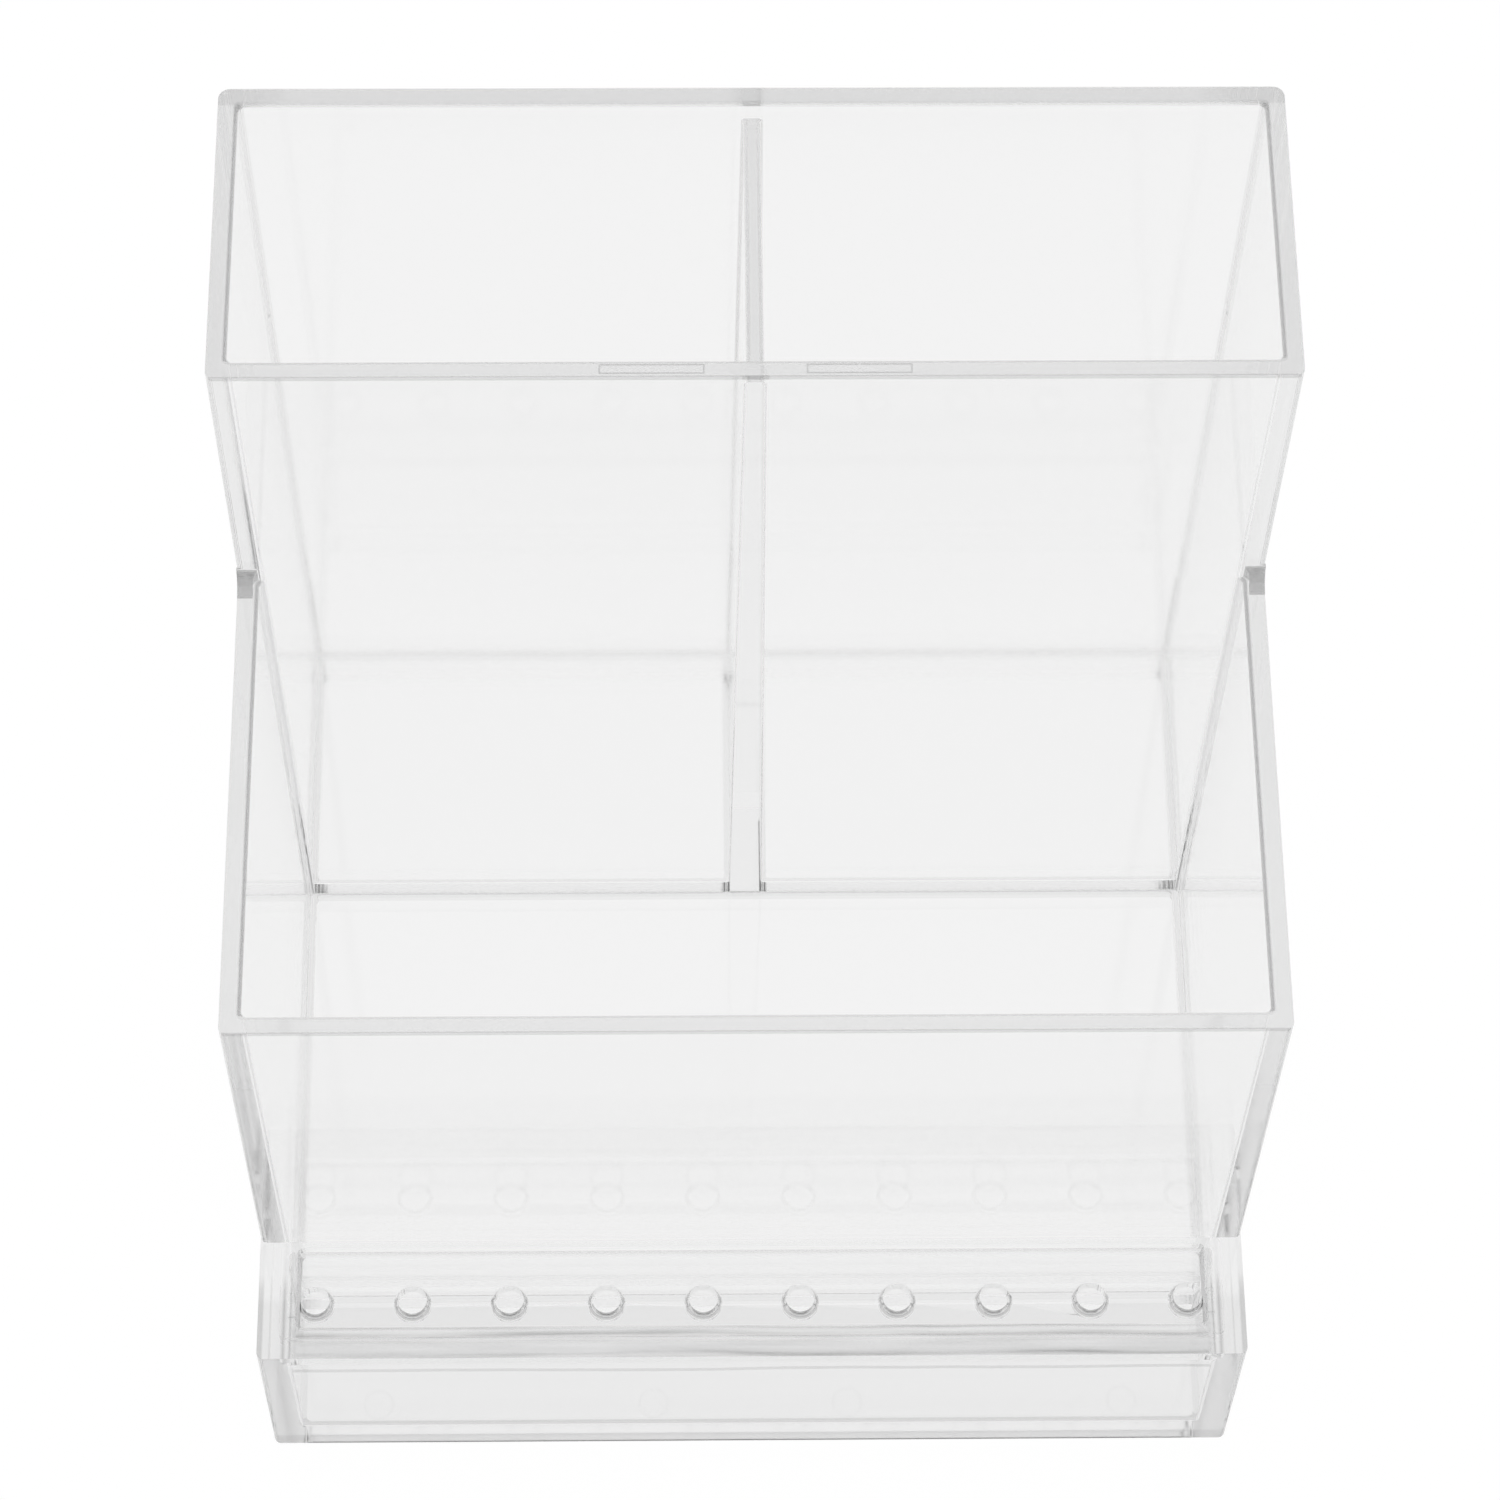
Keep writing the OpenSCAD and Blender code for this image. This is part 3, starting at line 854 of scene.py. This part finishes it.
def white_table(look, at):
    """A white glowing table, dimmer through the plastic and dimmer still through the rack."""
    material = bpy.data.materials.new("white lit table")
    material.use_nodes = True
    # Almost all light comes through the plastic, so rays aimed at the lights take time and add little
    material.cycles.emission_sampling = "NONE"
    tree = material.node_tree
    tree.nodes.clear()
    path = node(tree, "ShaderNodeLightPath")
    # A liberty: the camera's own rays see the table brighter than the rays that come through the plastic
    seen = node(tree, "ShaderNodeEmission", {"Strength": look.table_seen})
    place = node(tree, "ShaderNodeTexCoord")
    along = node(tree, "ShaderNodeSeparateXYZ", None, Vector=place.outputs["Object"])
    span = node(tree, "ShaderNodeMapRange", {
        "From Min": at.front, "From Max": at.tall}, Value=along.outputs["Y"])
    shade = node(tree, "ShaderNodeValToRGB", None, Fac=span.outputs[0])
    stops = shade.color_ramp.elements
    # Painted shadow: the table seen through the rack is dimmer than behind the bin's front
    for y, glow in ((at.bin - 0.5 * MM, look.table_rack), (at.bin + 0.5 * MM, look.table_through)):
        stop = stops.new((y - at.front) / (at.tall - at.front))
        stop.color = (glow, glow, glow, 1)
    stops[0].color = stops[1].color
    stops[-1].color = stops[-2].color
    through = node(tree, "ShaderNodeEmission", {"Strength": 1.0}, Color=shade.outputs[0])
    glow = node(tree, "ShaderNodeMixShader", None, Fac=path.outputs["Is Camera Ray"])
    tree.links.new(through.outputs[0], glow.inputs[1])
    tree.links.new(seen.outputs[0], glow.inputs[2])
    cover = node(tree, "ShaderNodeBsdfDiffuse", {"Color": (0.06, 0.06, 0.06, 1)})
    both = node(tree, "ShaderNodeAddShader")
    tree.links.new(cover.outputs[0], both.inputs[0])
    tree.links.new(glow.outputs[0], both.inputs[1])
    node(tree, "ShaderNodeOutputMaterial", Surface=both.outputs[0])
    return material


def surroundings(scene, look):
    """A long softbox overhead in a dim room, whose sides draw the dark lines along clear edges."""
    world = bpy.data.worlds.new("softbox in a dim room")
    scene.world = world
    world.cycles.sampling_method = "NONE"
    world.use_nodes = True
    tree = world.node_tree
    tree.nodes.clear()
    place = node(tree, "ShaderNodeTexCoord")
    way = node(tree, "ShaderNodeSeparateXYZ", None, Vector=place.outputs["Generated"])
    half, side_blur = math.sin(look.softbox_half), 0.07
    low, end_blur = math.sin(look.softbox_low), 0.06
    across = node(tree, "ShaderNodeMapRange", {
        "interpolation_type": "SMOOTHSTEP", "To Min": 1.0, "To Max": 0.0,
        "From Min": half - side_blur, "From Max": half + side_blur},
        Value=sums(tree, "ABSOLUTE", way.outputs["X"]))
    down = node(tree, "ShaderNodeMapRange", {
        "interpolation_type": "SMOOTHSTEP",
        "From Min": low - end_blur, "From Max": low + end_blur},
        Value=way.outputs["Z"])
    colour = node(tree, "ShaderNodeMix", {"data_type": "RGBA"})
    tree.links.new(times(tree, across.outputs[0], down.outputs[0]), colour.inputs[0])
    colour.inputs[6].default_value = (*look.room, 1)
    colour.inputs[7].default_value = (look.softbox, look.softbox, look.softbox, 1)
    light = node(tree, "ShaderNodeBackground", {"Strength": 1.0}, Color=colour.outputs[2])
    node(tree, "ShaderNodeOutputWorld", Surface=light.outputs[0])


class SCENE_OT_organizer_stage(Operator):
    """Adds the white table, the softbox in its dim room and the camera"""
    bl_idname = "scene.organizer_stage"
    bl_label = "Stage"

    def execute(self, context):
        scene = context.scene
        look = scene.organizer_stage
        deselect()
        bpy.ops.mesh.primitive_plane_add(size=6, location=(0, 0, -0.1 * MM))
        table = added("table")
        table.data.materials.append(white_table(look, Levels(scene)))
        surroundings(scene, look)
        bpy.ops.object.camera_add(location=CAMERA_PLACE)
        camera = context.object
        camera.name = "camera"
        camera.rotation_mode = "YXZ"
        camera.rotation_euler = CAMERA_TURN
        camera.data.sensor_width = 36
        camera.data.lens = look.lens
        scene.camera = camera
        scene.view_settings.view_transform = "Standard"
        # Clear walls in front of clear walls: light crosses up to a dozen of them, each with two faces
        scene.cycles.max_bounces = 24
        scene.cycles.transmission_bounces = 32
        scene.cycles.glossy_bounces = 32
        return {"FINISHED"}


CAMERA_PLACE = Vector((-7.0522, -235.0269, 503.3732)) * MM
CAMERA_TURN = (0.49413, -0.01153, -0.00474)


class VIEW3D_PT_organizer(Panel):
    """Sizes, looks and build buttons of the organizer"""
    bl_label = "Organizer"
    bl_space_type = "VIEW_3D"
    bl_region_type = "UI"
    bl_category = "Organizer"

    def draw(self, context):
        scene = context.scene
        for title, group in (("Body", scene.organizer_body), ("Rack plate", scene.organizer_plate),
                             ("Plastic", scene.organizer_plastic), ("Stage", scene.organizer_stage)):
            box = self.layout.box()
            box.label(text=title)
            for key in group.bl_rna.properties.keys():
                if key not in ("rna_type", "name"):
                    box.prop(group, key)
        for operator in OPERATORS:
            self.layout.operator(operator.bl_idname)


GROUPS = {
    "organizer_body": BodySizes,
    "organizer_plate": PlateSizes,
    "organizer_plastic": PlasticLook,
    "organizer_stage": StageLook,
}
OPERATORS = (SCENE_OT_organizer_stage, OBJECT_OT_organizer_body, OBJECT_OT_organizer_rack_plate)


def register():
    for kind in (*GROUPS.values(), *OPERATORS, VIEW3D_PT_organizer):
        bpy.utils.register_class(kind)
    for name, group in GROUPS.items():
        setattr(bpy.types.Scene, name, PointerProperty(type=group))


def unregister():
    for name in GROUPS:
        delattr(bpy.types.Scene, name)
    for kind in reversed((*GROUPS.values(), *OPERATORS, VIEW3D_PT_organizer)):
        bpy.utils.unregister_class(kind)


def main():
    register()
    bpy.ops.scene.organizer_stage()
    bpy.ops.object.organizer_body()
    bpy.ops.object.organizer_rack_plate()


if __name__ == "__main__":
    main()
